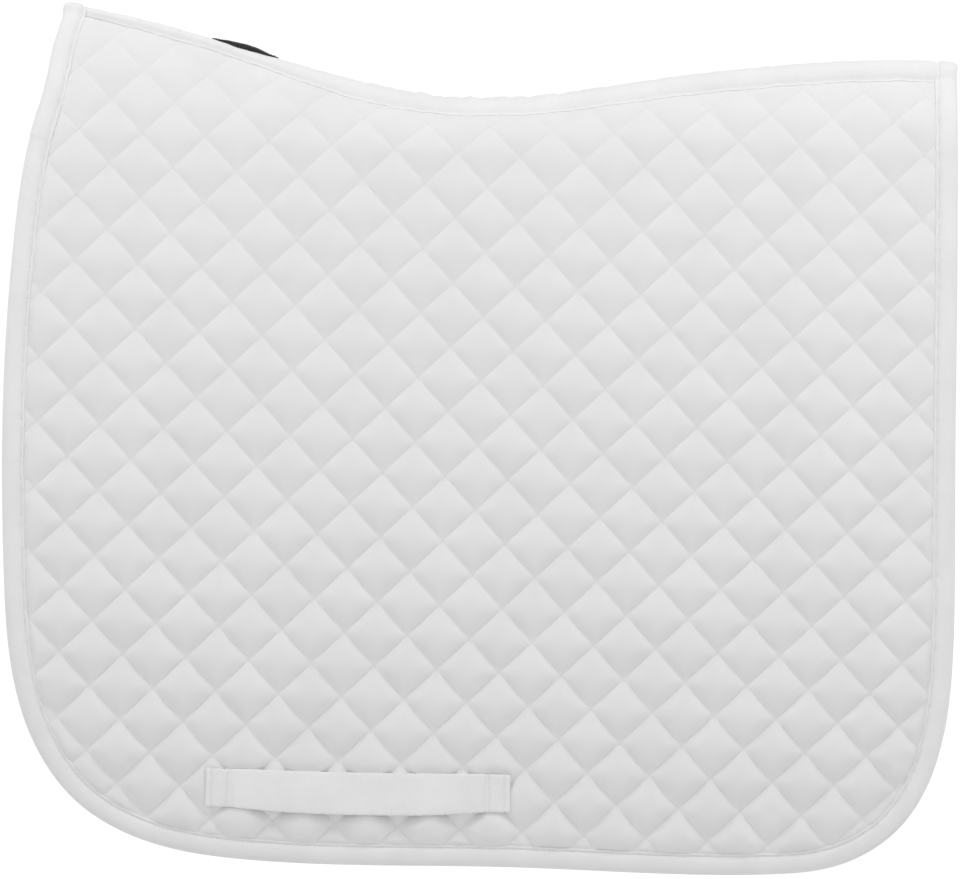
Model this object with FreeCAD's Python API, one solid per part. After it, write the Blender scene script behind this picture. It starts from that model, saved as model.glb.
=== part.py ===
import FreeCAD, Part
import math
import os

# A quilted saddle pad hanging folded over its spine seam, millimetres.
# +X runs from the withers to the rear, -Y is the left side of the horse, +Z is up.
# The origin is the underside of the spine at its lowest point, where the pad rests
# on a rail or on the horse's back.

# ---- driving dimensions -------------------------------------------------------------
FABRIC = 0.8            # cotton drill of the face and of the lining
WADDING = 7.4           # quilted wadding between them
TAPE = 1.0              # spine tape, outside and inside
BINDING = 0.8           # bound edge, one leg
BINDING_WIDTH = 16.0    # how far the bound edge reaches in over the face
SPINE_TAPE_WIDTH = 34.0
PAD = FABRIC + WADDING + FABRIC
CLEAR = 0.1             # hair gap between cloths that lie on each other

FOLD_Z = -28.0          # height of the fold line on which a flap swings
FOLD_GAP = 1.0          # free height left between the top and a flap at the fold
FOLD_HALF_WIDTH = 28.0  # centre plane to the face at the fold
FOLD_LEAN = 0.06        # outward lean of the face at the fold, as a slope
RIDGE_ROUNDING = 0.15   # share of the arch that is rounded over at its crest
CREST_PINCH = 0.3       # the crest is tighter than the pad is thick, which lowers its underside
SEAM_GAP = 0.05         # half of the seam between the left and right panels

# Half-widths of the hanging flap's face, as (depth below the fold, half-width).
FLAP_SECTION = [(0, 28.0), (110, 35.0), (230, 39.5), (350, 39.5), (450, 33.0), (520, 22.5)]

# Spine, from withers to rear: (x, height above its lowest point).
SPINE = [(-350, 76.0), (-284, 65.5), (-220, 51.0), (-138, 26.6), (-80, 10.5), (-28, 1.0), (0, 0.0),
         (41, 1.2), (83, 6.8), (152, 16.4), (235, 24.0), (290, 25.8), (350, 23.4)]

# Side outline, (x, z). It closes above the spine, outside the cloth.
WITHERS_CORNER = [(-282.5, 92), (-288.5, 71.5), (-294.4, 53)]
FRONT_EDGE = [(-299, 30), (-311.5, -18), (-320.5, -74), (-329.5, -230)]
FRONT_CORNER = [(-328.5, -310), (-308, -433), (-279, -474), (-231, -502), (-163, -515)]
HEM = [(20, -520.5), (200, -525.5)]
REAR_CORNER = [(248, -519), (290, -492.5), (317, -440), (326, -375)]
REAR_EDGE = [(327.5, -280), (329.5, -100), (330, 34), (330, 88)]
OUTLINE = WITHERS_CORNER + FRONT_EDGE + FRONT_CORNER + HEM + REAR_CORNER + REAR_EDGE

# Girth strap: webbing sewn flat at both ends and slack between them.
STRAP_WIDTH = 27.5
STRAP_THICK = 1.6
STRAP_ENDS = (-189.2, 20.8)
STRAP_Z = -466.4
STRAP_TAB = 17.0        # sewn length at each end
STRAP_SLACK = 9.0       # free gap behind the middle of the strap
STRAP_FULLNESS = 3      # power of the bow: higher stays out further towards the tabs
STRAP_CLEARANCE = 0.3   # between a tab and the face
STRAP_TILT = 1.2        # degrees, the rear end lower
STITCH_ROWS = (4.0, 14.5)   # distance of the two stitch rows from each strap end
STITCHES_PER_ROW = 7
STITCH_LENGTH = 2.6
THREAD = 0.7
THREAD_LIFT = 0.25      # a stitch lies this far off the webbing, which bends up beside it

# Plain woven label folded over the spine behind the withers.
LABEL_X = (-186.0, -140.0)
LABEL_REACH = (5.0, 24.0)   # along the arch, down the left and the right side of the crest
LABEL = 0.8

# How finely the curves are laid out.
STATIONS = 16           # cross-sections along the top
END_X = 345.0           # stock is cut to the outline from this half-length
ARCH_SAMPLES = 300      # samples down the arch, closer together near its crest
ARCH_POINTS = 15        # points that a line of the arch is drawn through
FLAP_STEP = 4.0         # distance between samples down a flap
FLAP_STEPS = 131
FLAP_POINTS = 12        # points that a line of the flap is drawn through
EDGE_POINTS = 121       # points that the drawn-in outline runs through
HALF_DEPTH = 200.0      # the outline is cut this far to the left and right of the spine
LID = 40.0              # and closed this far above it


# ---- curves -------------------------------------------------------------------------
def smooth(points, at):
    """Value of the smooth curve through points, each (position, value), at a position."""
    last = len(points) - 1

    def slope(i):
        before = points[max(i - 1, 0)]
        after = points[min(i + 1, last)]
        return (after[1] - before[1]) / (after[0] - before[0])

    i = 0
    while i < last - 1 and at > points[i + 1][0]:
        i += 1
    span = points[i + 1][0] - points[i][0]
    t = (at - points[i][0]) / span
    start = (2 * t**3 - 3 * t**2 + 1) * points[i][1] + (t**3 - 2 * t**2 + t) * span * slope(i)
    end = (3 * t**2 - 2 * t**3) * points[i + 1][1] + (t**3 - t**2) * span * slope(i + 1)
    return start + end


def arch(x, share):
    """Face of the top at x: (y, z) at a share of the height from crest to fold."""
    crest = TAPE + PAD + CREST_PINCH + smooth(SPINE, x)
    height = crest - FOLD_Z
    e = RIDGE_ROUNDING
    rise = math.sqrt((share**2 + 2 * e * share) / (1 + 2 * e))
    y = FOLD_HALF_WIDTH * (1 - (1 - rise)**2) - FOLD_LEAN * height * share**2 * (1 - share)
    return y, crest - height * share


def flap_face(depth):
    """Face of the flap: (y, z) at a depth below the fold."""
    return smooth(FLAP_SECTION, depth), FOLD_Z - depth


def offset_line(curve, params, inward):
    """Points on a (y, z) curve moved towards the inside of the pad."""
    moved = []
    for t in params:
        here = curve(t)
        ahead = curve(t + 1e-4)
        dy = ahead[0] - here[0]
        dz = ahead[1] - here[1]
        length = math.hypot(dy, dz)
        moved.append((here[0] + dz / length * inward, here[1] - dy / length * inward))
    return moved


def crossing(points, axis, value):
    """Point where a run of (y, z) points first reaches a value on one axis."""
    for a, b in zip(points, points[1:]):
        if (a[axis] - value) * (b[axis] - value) <= 0 and a[axis] != b[axis]:
            t = (value - a[axis]) / (b[axis] - a[axis])
            return (a[0] + t * (b[0] - a[0]), a[1] + t * (b[1] - a[1]))
    return None


def resample(points, count):
    """The same run as evenly spaced points."""
    run = [0.0]
    for a, b in zip(points, points[1:]):
        run.append(run[-1] + math.dist(a, b))
    out = []
    j = 0
    for i in range(count):
        want = run[-1] * i / (count - 1)
        while j < len(points) - 2 and run[j + 1] < want:
            j += 1
        t = (want - run[j]) / (run[j + 1] - run[j])
        out.append((points[j][0] + t * (points[j + 1][0] - points[j][0]),
                    points[j][1] + t * (points[j + 1][1] - points[j][1])))
    return out


def top_line(x, inward, seam, reach=None):
    """Half-arch at x from the seam down to the fold, or only as far as a reach along it."""
    shares = [(i / ARCH_SAMPLES)**2 for i in range(1, ARCH_SAMPLES + 16)]
    points = offset_line(lambda share: arch(x, share), shares, inward)
    beyond = (points[0][0] - FOLD_HALF_WIDTH, points[0][1])
    start = crossing([beyond] + points, 0, seam)
    low = FOLD_Z + FOLD_GAP / 2
    end = crossing(points, 1, low)
    line = [start] + [p for p in points if p[0] > seam + 0.02 and low + 0.02 < p[1] < start[1]] + [end]
    if reach is not None:
        fine = resample(line, 2 * ARCH_SAMPLES)
        steps = math.ceil(reach / math.dist(fine[0], fine[1]))
        line = fine[:steps + 1]
    return resample(line, ARCH_POINTS)


def spline(x, line):
    curve = Part.BSplineCurve()
    curve.interpolate([FreeCAD.Vector(x, y, z) for y, z in line])
    return curve.toShape()


def section(x, outer, inner):
    """Closed cross-section at x between two (y, z) lines that run the same way."""
    outside = spline(x, outer)
    inside = spline(x, inner)
    low = Part.LineSegment(FreeCAD.Vector(x, *outer[-1]), FreeCAD.Vector(x, *inner[-1])).toShape()
    high = Part.LineSegment(FreeCAD.Vector(x, *inner[0]), FreeCAD.Vector(x, *outer[0])).toShape()
    return Part.Wire([outside, low, inside, high])


# ---- stock shapes, right-hand side ---------------------------------------------------
def loft(span, wire_at):
    """Solid through the closed cross-sections that wire_at gives between two x positions."""
    places = [span[0] + (span[1] - span[0]) * i / (STATIONS - 1) for i in range(STATIONS)]
    return Part.makeLoft([wire_at(x) for x in places], True, False)


def top_stock(outer_depth, inner_depth, seam=SEAM_GAP, reach=None):
    """Right half of the top between two depths under its face."""
    def wire_at(x):
        return section(x, top_line(x, outer_depth, seam, reach), top_line(x, inner_depth, seam, reach))
    return loft((-END_X, END_X), wire_at)


def crest_strip(outer_depth, inner_depth, reaches, span):
    """Strip laid over the crest, reaching down the left and the right side."""
    def across(x, depth):
        left_line, right_line = [top_line(x, depth, 0.0, reach) for reach in reaches]
        return [(-y, z) for y, z in reversed(left_line)] + right_line[1:]

    def wire_at(x):
        return section(x, across(x, outer_depth), across(x, inner_depth))
    return loft(span, wire_at)


def flap_stock(outer_depth, inner_depth):
    """Right flap between two depths under its face."""
    depths = [FOLD_GAP / 2 + i * FLAP_STEP for i in range(FLAP_STEPS)]
    lines = []
    for depth in (outer_depth, inner_depth):
        line = resample(offset_line(flap_face, depths, depth), FLAP_POINTS)
        line[0] = (line[0][0], FOLD_Z - FOLD_GAP / 2)
        lines.append(line)
    return Part.Face(section(-END_X, *lines)).extrude(FreeCAD.Vector(2 * END_X, 0, 0))


def outline(inset):
    """Side outline as a prism across the whole pad, drawn in by an inset."""
    base = Part.BSplineCurve()
    base.interpolate([FreeCAD.Vector(x, -HALF_DEPTH, z) for x, z in OUTLINE])
    moved = []
    for i in range(EDGE_POINTS):
        share = i / (EDGE_POINTS - 1)
        t = base.FirstParameter + (base.LastParameter - base.FirstParameter) * share
        direction = base.tangent(t)[0]
        moved.append(base.value(t) + FreeCAD.Vector(-direction.z, 0, direction.x) * inset)
    edge = Part.BSplineCurve()
    edge.interpolate(moved)
    lid = FreeCAD.Vector(0, 0, LID)
    over = Part.makePolygon([moved[-1], moved[-1] + lid, moved[0] + lid, moved[0]])
    return Part.Face(Part.Wire([edge.toShape()] + over.Edges)).extrude(FreeCAD.Vector(0, 2 * HALF_DEPTH, 0))


def left(shape):
    """Mirror image on the left side."""
    return shape.mirror(FreeCAD.Vector(0, 0, 0), FreeCAD.Vector(0, 1, 0))


def over_the_spine(right_half):
    """One piece that runs over the crest from the right side to the left."""
    return right_half.fuse(left(right_half)).removeSplitter()


# ---- pieces --------------------------------------------------------------------------
def bound_edge(thick, core):
    """Folded tape round the edge of thick stock, hollowed for the cloth that it holds."""
    return thick.common(WHOLE).cut(FIELD).cut(core.common(outline(BINDING - CLEAR)))


def outer_spine_tape():
    half = SPINE_TAPE_WIDTH / 2
    return crest_strip(-TAPE, -CLEAR, (half, half), (-END_X, END_X)).common(FIELD)


def inner_spine_tape():
    half = top_stock(PAD + CLEAR, PAD + TAPE, 0.0, SPINE_TAPE_WIDTH / 2)
    return over_the_spine(half).common(FIELD)


def spine_label():
    return crest_strip(-TAPE - LABEL, -TAPE - CLEAR, LABEL_REACH, LABEL_X)


def on_flap(shape):
    """Put a shape drawn flat (x along the pad, y out of the face, z up) on the right flap."""
    depth = FOLD_Z - STRAP_Z
    y, z = flap_face(depth)
    below = flap_face(depth + 1)
    lean = math.degrees(math.atan2(y - below[0], 1))
    middle = sum(STRAP_ENDS) / 2
    shape.rotate(FreeCAD.Vector(0, 0, 0), FreeCAD.Vector(0, 1, 0), STRAP_TILT)
    shape.rotate(FreeCAD.Vector(0, 0, 0), FreeCAD.Vector(1, 0, 0), -lean)
    shape.translate(FreeCAD.Vector(middle, y, z))
    return shape


def strap_gap(x, half):
    """Free gap behind the strap at x from its middle: none at the tabs, most in the middle."""
    share = max(0.0, 1 - (abs(x) / (half - STRAP_TAB))**STRAP_FULLNESS)
    return STRAP_CLEARANCE + STRAP_SLACK * share


def girth_strap():
    half = (STRAP_ENDS[1] - STRAP_ENDS[0]) / 2
    free = half - STRAP_TAB
    xs = [-half, -half + STRAP_TAB / 2, -free] + [free * i / 6 for i in range(-5, 6)]
    xs += [free, half - STRAP_TAB / 2, half]
    back = [FreeCAD.Vector(x, strap_gap(x, half), -STRAP_WIDTH / 2) for x in xs]
    front = [point + FreeCAD.Vector(0, STRAP_THICK, 0) for point in back]
    edges = []
    for line in (back, front):
        curve = Part.BSplineCurve()
        curve.interpolate(line)
        edges.append(curve.toShape())
    ends = [Part.makeLine(back[i], front[i]) for i in (0, -1)]
    wire = Part.Wire([edges[0], ends[1], edges[1], ends[0]])
    return on_flap(Part.Face(wire).extrude(FreeCAD.Vector(0, 0, STRAP_WIDTH)))


def strap_stitches():
    half = (STRAP_ENDS[1] - STRAP_ENDS[0]) / 2
    pitch = STRAP_WIDTH / STITCHES_PER_ROW
    surface = STRAP_CLEARANCE + STRAP_THICK + THREAD_LIFT
    stitches = []
    for side in (-1, 1):
        for row in STITCH_ROWS:
            x = side * (half - row)
            for i in range(STITCHES_PER_ROW):
                z = (i + 0.5) * pitch - STRAP_WIDTH / 2
                corner = FreeCAD.Vector(x - THREAD / 2, surface, z - STITCH_LENGTH / 2)
                stitches.append(Part.makeBox(THREAD, THREAD, STITCH_LENGTH, corner))
    return on_flap(Part.makeCompound(stitches))


def write(node, shape):
    print(f"{node:28s} {len(shape.Solids):3d} solids, {shape.Volume / 1000:9.2f} cm3, valid {shape.isValid()}")
    shape.exportStep(f"parts/{node}.step")


os.makedirs("parts", exist_ok=True)
WHOLE = outline(0)
CLOTH = outline(BINDING)
FIELD = outline(BINDING_WIDTH)
LAYERS = {"face": (0, FABRIC),
          "wadding": (FABRIC + CLEAR, PAD - FABRIC - CLEAR),
          "lining": (PAD - FABRIC, PAD)}

for name, depths in LAYERS.items():
    top = top_stock(*depths).common(CLOTH)
    write(f"right_top_{name}", top)
    write(f"left_top_{name}", left(top))
    flap = flap_stock(*depths).common(CLOTH)
    write(f"right_flap_{name}", flap)
    write(f"left_flap_{name}", left(flap))

top_core = top_stock(-CLEAR, PAD + CLEAR, 0.0)
top_thick = top_stock(-BINDING, PAD + BINDING, 0.0)
top_binding = bound_edge(over_the_spine(top_thick), over_the_spine(top_core))
for solid in top_binding.Solids:
    write("withers_binding" if solid.CenterOfMass.x < 0 else "cantle_binding", solid)
flap_binding = bound_edge(flap_stock(-BINDING, PAD + BINDING), flap_stock(-CLEAR, PAD + CLEAR))
write("right_flap_binding", flap_binding)
write("left_flap_binding", left(flap_binding))

write("spine_tape_outer", outer_spine_tape())
write("spine_tape_inner", inner_spine_tape())
write("spine_label", spine_label())

for name, piece in (("girth_strap", girth_strap()), ("girth_strap_stitches", strap_stitches())):
    write(f"right_{name}", piece)
    write(f"left_{name}", left(piece))
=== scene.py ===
import math

import bpy
import numpy as np
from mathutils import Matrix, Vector


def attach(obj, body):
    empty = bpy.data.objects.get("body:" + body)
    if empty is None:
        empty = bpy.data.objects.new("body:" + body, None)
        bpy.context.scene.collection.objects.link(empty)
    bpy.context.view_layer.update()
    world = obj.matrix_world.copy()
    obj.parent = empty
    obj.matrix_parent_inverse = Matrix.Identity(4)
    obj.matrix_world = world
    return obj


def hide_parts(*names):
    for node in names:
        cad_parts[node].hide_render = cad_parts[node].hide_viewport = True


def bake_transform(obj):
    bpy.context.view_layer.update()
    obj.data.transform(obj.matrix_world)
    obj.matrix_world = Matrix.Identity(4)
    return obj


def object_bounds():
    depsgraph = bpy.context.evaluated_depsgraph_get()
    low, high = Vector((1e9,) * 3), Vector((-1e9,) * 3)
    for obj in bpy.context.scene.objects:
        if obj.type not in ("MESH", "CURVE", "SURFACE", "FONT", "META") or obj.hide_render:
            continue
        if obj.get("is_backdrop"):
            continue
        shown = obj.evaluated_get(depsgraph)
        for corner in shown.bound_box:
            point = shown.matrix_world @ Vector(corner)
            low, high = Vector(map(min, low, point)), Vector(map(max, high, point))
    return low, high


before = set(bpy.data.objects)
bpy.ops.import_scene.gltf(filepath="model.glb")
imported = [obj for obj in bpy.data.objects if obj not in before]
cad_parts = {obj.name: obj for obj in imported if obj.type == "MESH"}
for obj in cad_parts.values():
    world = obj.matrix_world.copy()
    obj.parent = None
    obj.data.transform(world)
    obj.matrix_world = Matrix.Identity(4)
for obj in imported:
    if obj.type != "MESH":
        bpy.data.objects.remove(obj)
CAD_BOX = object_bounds()

# The shapes are worked out in millimetres, like the CAD part, and become metres in
# add_mesh(). "Flat" coordinates lie in the uncut cloth of the right-hand panel: u runs
# with +X and v is the run of cloth above the fold line, so v is negative on the flap.

# ---- driving dimensions, as in the CAD part ----
PAD = 9.0                # face, wadding and lining together
TAPE = 1.0
CREST_PINCH = 0.3
BINDING_WIDTH = 16.0
SPINE_TAPE_WIDTH = 34.0
FOLD_Z = -28.0
FOLD_HALF_WIDTH = 28.0
FOLD_LEAN = 0.06
RIDGE_ROUNDING = 0.15
FLAP_SECTION = [(0, 28.0), (110, 35.0), (230, 39.5), (350, 39.5), (450, 33.0), (520, 22.5)]
SPINE = [(-350, 76.0), (-284, 65.5), (-220, 51.0), (-138, 26.6), (-80, 10.5), (-28, 1.0), (0, 0.0),
         (41, 1.2), (83, 6.8), (152, 16.4), (235, 24.0), (290, 25.8), (350, 23.4)]
OUTLINE = [(-282.5, 92), (-288.5, 71.5), (-294.4, 53), (-299, 30),
           (-311.5, -18), (-320.5, -74), (-329.5, -230),
           (-328.5, -310), (-308, -433), (-279, -474), (-231, -502), (-163, -515),
           (20, -520.5), (200, -525.5),
           (248, -519), (290, -492.5), (317, -440), (326, -375),
           (327.5, -280), (329.5, -100), (330, 34), (330, 88)]
STRAP_WIDTH = 27.5
STRAP_THICK = 1.6
STRAP_ENDS = (-189.2, 20.8)
STRAP_Z = -466.4
STRAP_TAB = 17.0
STRAP_FULLNESS = 3
STRAP_CLEARANCE = 0.3
STRAP_TILT = 1.2
STITCH_ROWS = (4.0, 14.5)
LABEL_X = (-186.0, -140.0)
LABEL_REACH = (5.0, 24.0)

# ---- the look of the cloth ----
QUILT_ORIGIN = (-3.3, -245.8)        # one crossing of the quilting lines, flat
QUILT_DOWN = (20.55, -23.43)         # from a crossing to the next down to the right
QUILT_UP = (22.48, 20.96)            # and to the next up to the right
QUILT_DRIFT_U = (-1.4, -0.7, -1.0)   # how the lines wander, per 10 x 10 cells
QUILT_DRIFT_V = (-0.6, 2.4, 1.2)
CELL_STEPS = 7           # simulated edges along a cell's side, doubled by subdivision
CELLS = 18               # the lattice is laid out this many cells each way from its origin
REACH_U = 350            # and is only used between these flat places
REACH_V = (-560, 130)
STITCHED_U = 340         # its lines are only followed between these
STITCHED_V = -540
SIMULATED_PUFF = 4.05    # height of a puff as the simulation gives it
SEAM_DEPTH = 3.3         # the face at a quilting line lies this far under the CAD face
PUFF = 3.7               # height of a puff over its seams
FULLER_DOWN = ((-480, -330, -60, 60), (1.42, 1.2, 0.68, 0.48))   # its share of that, by flat v
BOUND_AT = 13.2          # the binding's stitch line, from the bound edge
TAPE_EDGE_AT = 15.4      # the binding's inner edge, from the bound edge
BOUND_RISE = 4.6         # a puff can rise this much beside the binding
BOUND_REACH = 17.0       # and does so over this distance
TAPE_AT = 15.5           # the spine tape's stitch lines, from the seam
TAPE_LOW = 3.0           # depth of the spine tape's upper side at its sewn edges
TAPE_DEEPEST = 3.4       # and nowhere deeper than this
QUILTING_PITCH = 3.5     # one stitch and gap of the quilting
QUILTING_STITCH = 2.7    # and what of it shows as thread
RIB_PITCH = 1.45         # ribs of the webbing
STRAP_SAG = 2.1          # how far the strap hangs down at its middle
STRAP_BOW = 2.0          # how far its lower edge stands off there
STRAP_FULL = (0.957, 0.1)    # its half-width at the sewn ends, and what it gains in the free middle


# ---- sections of the hanging pad ----
def smooth(points, at):
    """Value of the smooth curve through points, each (position, value), at positions."""
    xs, ys = np.array(points, float).T
    slopes = np.gradient(ys, xs)
    slopes[1:-1] = (ys[2:] - ys[:-2]) / (xs[2:] - xs[:-2])
    i = np.clip(np.searchsorted(xs, at) - 1, 0, len(xs) - 2)
    span = xs[i + 1] - xs[i]
    t = (at - xs[i]) / span
    start = (2 * t**3 - 3 * t**2 + 1) * ys[i] + (t**3 - 2 * t**2 + t) * span * slopes[i]
    end = (3 * t**2 - 2 * t**3) * ys[i + 1] + (t**3 - t**2) * span * slopes[i + 1]
    return start + end


def crest_height(u):
    """Height of the CAD face's crest over the underside at the spine's lowest point."""
    return TAPE + PAD + CREST_PINCH + smooth(SPINE, u)


def arch_half_width(height, share):
    """Half the width of the arch over the fold line, at a share of the way down from its crest."""
    rise = np.sqrt((share**2 + 2 * RIDGE_ROUNDING * share) / (1 + 2 * RIDGE_ROUNDING))
    return FOLD_HALF_WIDTH * (1 - (1 - rise)**2) - FOLD_LEAN * height * share**2 * (1 - share)


SHARES = np.linspace(0, 1, 401)**2
HEIGHTS = np.linspace(34, 125, 92)
_widths = arch_half_width(HEIGHTS[:, None], SHARES)
_runs = np.hypot(np.diff(_widths), np.diff(HEIGHTS[:, None] * SHARES))
RUN_DOWN = np.concatenate([np.zeros((len(HEIGHTS), 1)), np.cumsum(_runs, 1)], 1)
RUN_WHOLE = RUN_DOWN[:, -1]
SHARE_AT = np.array([np.interp(np.linspace(0, row[-1], 401), row, SHARES) for row in RUN_DOWN])
DEPTHS = np.arange(0, 545.0)
FLAP_RUN = np.concatenate([[0], np.cumsum(np.hypot(np.diff(smooth(FLAP_SECTION, DEPTHS)), 1))])
STRAP_HALF = (STRAP_ENDS[1] - STRAP_ENDS[0]) / 2
STRAP_MIDDLE = (sum(STRAP_ENDS) / 2, -np.interp(FOLD_Z - STRAP_Z, DEPTHS, FLAP_RUN))


def seam_v(u):
    """Where the panel ends at the spine seam."""
    return np.interp(crest_height(u) - FOLD_Z, HEIGHTS, RUN_WHOLE)


def table(rows, height, at):
    """Value from rows, one for each of HEIGHTS, at a place 0 to 1 along them."""
    k = np.clip((height - HEIGHTS[0]) / (HEIGHTS[1] - HEIGHTS[0]), 0, len(HEIGHTS) - 1.001)
    m = np.clip(at, 0, 1) * (rows.shape[1] - 1.001)
    i, j = k.astype(int), m.astype(int)
    k, m = k - i, m - j
    low = rows[i, j] * (1 - m) + rows[i, j + 1] * m
    high = rows[i + 1, j] * (1 - m) + rows[i + 1, j + 1] * m
    return low * (1 - k) + high * k


def flat_v(x, z):
    """Flat v of side-view points (x, z)."""
    height = crest_height(x) - FOLD_Z
    share = np.clip((crest_height(x) - z) / height, 0, 1)
    above = seam_v(x) - table(RUN_DOWN, height, np.sqrt(share))
    below = -np.interp(FOLD_Z - z, DEPTHS, FLAP_RUN)
    return np.where(z < FOLD_Z, below, above)


def surface(u, v):
    """Points of the CAD face on the right side, rows (x, y, z)."""
    depth = np.interp(-v, FLAP_RUN, DEPTHS)
    height = crest_height(u) - FOLD_Z
    share = table(SHARE_AT, height, 1 - v / seam_v(u))
    y = np.where(v <= 0, smooth(FLAP_SECTION, depth), arch_half_width(height, share))
    z = np.where(v <= 0, FOLD_Z - depth, FOLD_Z + height * (1 - share))
    return np.stack([u, y, z], 1)


def over_crest(u, v):
    """The surface carried on past the crest on to the other side."""
    seam = seam_v(u)
    out = surface(u, np.where(v > seam, 2 * seam - v, v))
    out[:, 1] *= np.where(v > seam, -1, 1)
    return out


def normals(u, v):
    """Outward directions of the CAD face on the right side."""
    step = 0.5
    along = over_crest(u + step, v) - over_crest(u - step, v)
    across = over_crest(u, v + step) - over_crest(u, v - step)
    n = np.cross(across, along)
    return n / np.linalg.norm(n, axis=1)[:, None]


def crest_trims():
    """How far down from the crest each depth under the face starts, for each of HEIGHTS."""
    rows = []
    for height, shares, whole in zip(HEIGHTS, SHARE_AT, RUN_WHOLE):
        y, z = arch_half_width(height, shares), -height * shares
        run = np.linspace(0, whole, len(shares))
        lean = -np.gradient(z, run)
        rows.append([run[np.argmax(y - depth * lean >= 0)] for depth in TRIM_DEPTHS])
    return np.array(rows)


TRIM_DEPTHS = np.linspace(0, 12, 49)
TRIMS = crest_trims()


def place(u, v, depth):
    """Points on the right side at a depth under the CAD face, kept on that side of the middle."""
    u, v, depth = [np.asarray(a, float) for a in np.broadcast_arrays(u, v, depth)]
    shape = u.shape
    u, v, depth = u.ravel(), v.ravel(), depth.ravel()
    seam = seam_v(u)
    trim = table(TRIMS, crest_height(u) - FOLD_Z, depth / TRIM_DEPTHS[-1])
    v = np.where(v > 0, v * (1 - trim / seam), v)
    out = surface(u, v) + normals(u, v) * -depth[:, None]
    out[:, 1] = np.maximum(out[:, 1], 0)
    return out.reshape(shape + (3,))


def placed(flat, depth):
    """Points on the right side for rows that start with u and v."""
    return place(flat[:, 0], flat[:, 1], depth)


def place_across(u, run, depth):
    """Points on either side of the crest: run is the distance from it, positive on the right."""
    u, run, depth = np.broadcast_arrays(u, run, depth)
    out = place(u, seam_v(u.ravel()).reshape(u.shape) - np.abs(run), depth)
    out[..., 1] *= np.sign(run)
    return out


# ---- side outline ----
def run_along(points):
    """Distance of each point along a run of points."""
    return np.concatenate([[0], np.cumsum(np.linalg.norm(np.diff(points, axis=0), axis=1))])


def spline_through(points, count):
    """Natural cubic spline through points, spaced by their chords, as a run of points."""
    p = np.array(points, float)
    t = run_along(p)
    h = np.diff(t)
    n = len(p)
    m = np.zeros((n, n))
    r = np.zeros((n, 2))
    m[0, 0] = m[-1, -1] = 1
    for i in range(1, n - 1):
        m[i, i - 1:i + 2] = h[i - 1], 2 * (h[i - 1] + h[i]), h[i]
        r[i] = 6 * ((p[i + 1] - p[i]) / h[i] - (p[i] - p[i - 1]) / h[i - 1])
    bend = np.linalg.solve(m, r)
    at = np.linspace(0, t[-1], count)
    k = np.clip(np.searchsorted(t, at) - 1, 0, n - 2)
    a = ((t[k + 1] - at) / h[k])[:, None]
    b = 1 - a
    curve = ((a**3 - a) * bend[k] + (b**3 - b) * bend[k + 1]) * (h[k]**2)[:, None] / 6
    return a * p[k] + b * p[k + 1] + curve


def even(points, step):
    """The same run of points, evenly spaced."""
    run = run_along(points)
    at = np.linspace(0, run[-1], max(2, int(round(run[-1] / step)) + 1))
    return np.stack([np.interp(at, run, points[:, i]) for i in range(points.shape[1])], 1)


def edge_line():
    """The bound edge in flat coordinates, from the seam at the withers to the seam at the rear."""
    side = spline_through(OUTLINE, 1200)
    inside = side[:, 1] <= crest_height(side[:, 0]) + 0.02
    side = side[inside]
    line = np.stack([side[:, 0], flat_v(side[:, 0], side[:, 1])], 1)
    for end in (0, -1):
        line[end, 1] = seam_v(line[end, 0])
    return even(line, 1.4)


EDGE = edge_line()


def nearest(u, v, line):
    """Distance from flat points to a run of points, positive where u, v is left of the run."""
    best = np.full(len(u), 1e9)
    a, b = line[:-1], line[1:]
    d = b - a
    for start in range(0, len(u), 4000):
        s = slice(start, start + 4000)
        pu, pv = u[s, None] - a[:, 0], v[s, None] - a[:, 1]
        t = np.clip((pu * d[:, 0] + pv * d[:, 1]) / (d**2).sum(1), 0, 1)
        gap = np.hypot(pu - t * d[:, 0], pv - t * d[:, 1])
        k = gap.argmin(1)
        pick = np.arange(len(k))
        side = d[k, 0] * pv[pick, k] - d[k, 1] * pu[pick, k]
        best[s] = gap[pick, k] * np.sign(side)
    return best


# ---- mesh and material helpers ----
def read(rows, name, width=1, kind=float):
    """Values of an attribute of every row of a mesh's data."""
    out = np.empty(len(rows) * width, kind)
    rows.foreach_get(name, out)
    return out.reshape(-1, width) if width > 1 else out


def new_object(name, data):
    """New object in the scene, of a mesh, light or camera."""
    obj = bpy.data.objects.new(name, data)
    bpy.context.collection.objects.link(obj)
    return obj


def add_mesh(name, points, faces, material, uv=None, crisp=0):
    """New object from points in millimetres, smooth but for corners sharper than crisp degrees."""
    mesh = bpy.data.meshes.new(name)
    points = np.asarray(points, float).reshape(-1, 3) * 0.001
    mesh.from_pydata(points.tolist(), [], [list(map(int, f)) for f in faces])
    if uv is not None:
        layer = mesh.uv_layers.new(name="cloth")
        loops = read(mesh.loops, "vertex_index", kind=int)
        layer.data.foreach_set("uv", (np.asarray(uv, float).reshape(-1, 2)[loops] * 0.001).ravel())
    mesh.polygons.foreach_set("use_smooth", [True] * len(mesh.polygons))
    mesh.materials.append(material)
    mesh.update()
    if crisp:
        mesh.set_sharp_from_angle(angle=math.radians(crisp))
    return new_object(name, mesh)


def grid_faces(rows, cols, closed_cols=False):
    """Quads of a grid of rows x cols points, whose rows may each be joined round."""
    columns = np.arange(cols if closed_cols else cols - 1)
    i, j = [a.ravel() for a in np.meshgrid(np.arange(rows - 1), columns, indexing="ij")]
    j2 = (j + 1) % cols
    return np.stack([i * cols + j, i * cols + j2, (i + 1) * cols + j2, (i + 1) * cols + j], 1)


def edge_keys(ends):
    """One number for each edge, from its two point numbers."""
    return ends[:, 0].astype(np.int64) * 10**7 + ends[:, 1]


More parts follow.
